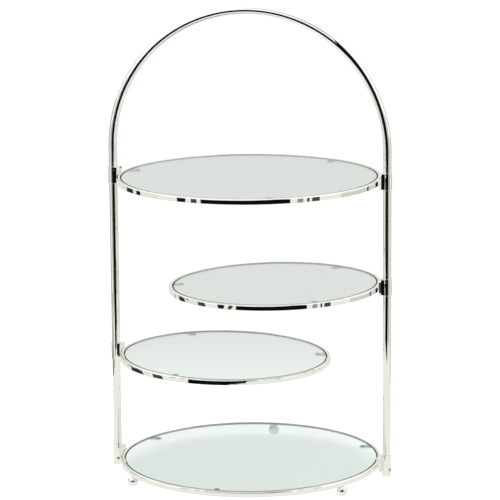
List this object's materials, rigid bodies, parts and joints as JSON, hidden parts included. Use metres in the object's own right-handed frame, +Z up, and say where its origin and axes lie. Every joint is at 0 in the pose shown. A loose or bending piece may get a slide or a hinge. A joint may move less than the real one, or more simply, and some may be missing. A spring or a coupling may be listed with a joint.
{
  "type": "tiered cake stand",
  "caption": "Tiered cake stand with an arched tube frame, chrome rings holding clear glass discs, and two smaller tiers that swing round the legs.",
  "frame": {"origin": "on the table, under the middle of the stand", "axes": "+Z up, +X from the left leg to the right leg, -Y to the front"},
  "size_m": [0.3378, 0.3147, 0.557],
  "materials": {
    "chrome": "polished",
    "glass": "clear, ground edge",
    "clear_bumper": "clear gloss",
    "plain_steel": "turned",
    "black_steel": "black oxide"
  },
  "bodies": {
    "frame": {"hoop_tube": "chrome", "leg_plug_left": "plain_steel", "socket_left": "chrome", "socket_screw_left": "black_steel", "socket_saddle_left": "chrome", "top_collar_left": "chrome", "top_saddle_left": "chrome", "top_screw_left": "black_steel", "leg_plug_right": "plain_steel", "socket_right": "chrome", "socket_screw_right": "black_steel", "socket_saddle_right": "chrome", "top_collar_right": "chrome", "top_saddle_right": "chrome", "top_screw_right": "black_steel", "bottom_ring": "chrome", "bottom_tab_1": "chrome", "bottom_tab_2": "chrome", "bottom_tab_3": "chrome", "bottom_pad_1": "clear_bumper", "bottom_pad_2": "clear_bumper", "bottom_pad_3": "clear_bumper", "top_ring": "chrome", "top_tab_1": "chrome", "top_tab_2": "chrome", "top_tab_3": "chrome", "top_pad_1": "clear_bumper", "top_pad_2": "clear_bumper", "top_pad_3": "clear_bumper", "foot_ball_left": "chrome", "foot_ball_right": "chrome", "foot_ball_back": "chrome"},
    "upper_swing_tier": {"upper_ring": "chrome", "upper_tab_1": "chrome", "upper_tab_2": "chrome", "upper_tab_3": "chrome", "upper_pad_1": "clear_bumper", "upper_pad_2": "clear_bumper", "upper_pad_3": "clear_bumper", "upper_collar": "chrome", "upper_saddle": "chrome", "upper_pivot_screw": "black_steel"},
    "lower_swing_tier": {"lower_ring": "chrome", "lower_tab_1": "chrome", "lower_tab_2": "chrome", "lower_tab_3": "chrome", "lower_pad_1": "clear_bumper", "lower_pad_2": "clear_bumper", "lower_pad_3": "clear_bumper", "lower_collar": "chrome", "lower_saddle": "chrome", "lower_pivot_screw": "black_steel"},
    "bottom_disc": {"bottom_glass": "glass"},
    "top_disc": {"top_glass": "glass"},
    "upper_disc": {"upper_glass": "glass"},
    "lower_disc": {"lower_glass": "glass"}
  },
  "joints": [
    {"name": "upper_tier_swing", "type": "hinge", "parent": "frame", "child": "upper_swing_tier", "pos_m": [0.16305, 0, 0.2298], "axis": [0, 0, 1], "continuous": true},
    {"name": "lower_tier_swing", "type": "hinge", "parent": "frame", "child": "lower_swing_tier", "pos_m": [-0.16305, 0, 0.1418], "axis": [0, 0, 1], "continuous": true},
    {"name": "bottom_disc_lift", "type": "slide", "parent": "frame", "child": "bottom_disc", "axis": [0, 0, 1], "range_m": [0, 0.04]},
    {"name": "top_disc_lift", "type": "slide", "parent": "frame", "child": "top_disc", "axis": [0, 0, 1], "range_m": [0, 0.04]},
    {"name": "upper_disc_lift", "type": "slide", "parent": "upper_swing_tier", "child": "upper_disc", "axis": [-0.0175, 0, 0.9998], "range_m": [0, 0.04]},
    {"name": "lower_disc_lift", "type": "slide", "parent": "lower_swing_tier", "child": "lower_disc", "axis": [0.0227, 0, 0.9997], "range_m": [0, 0.04]}
  ]
}
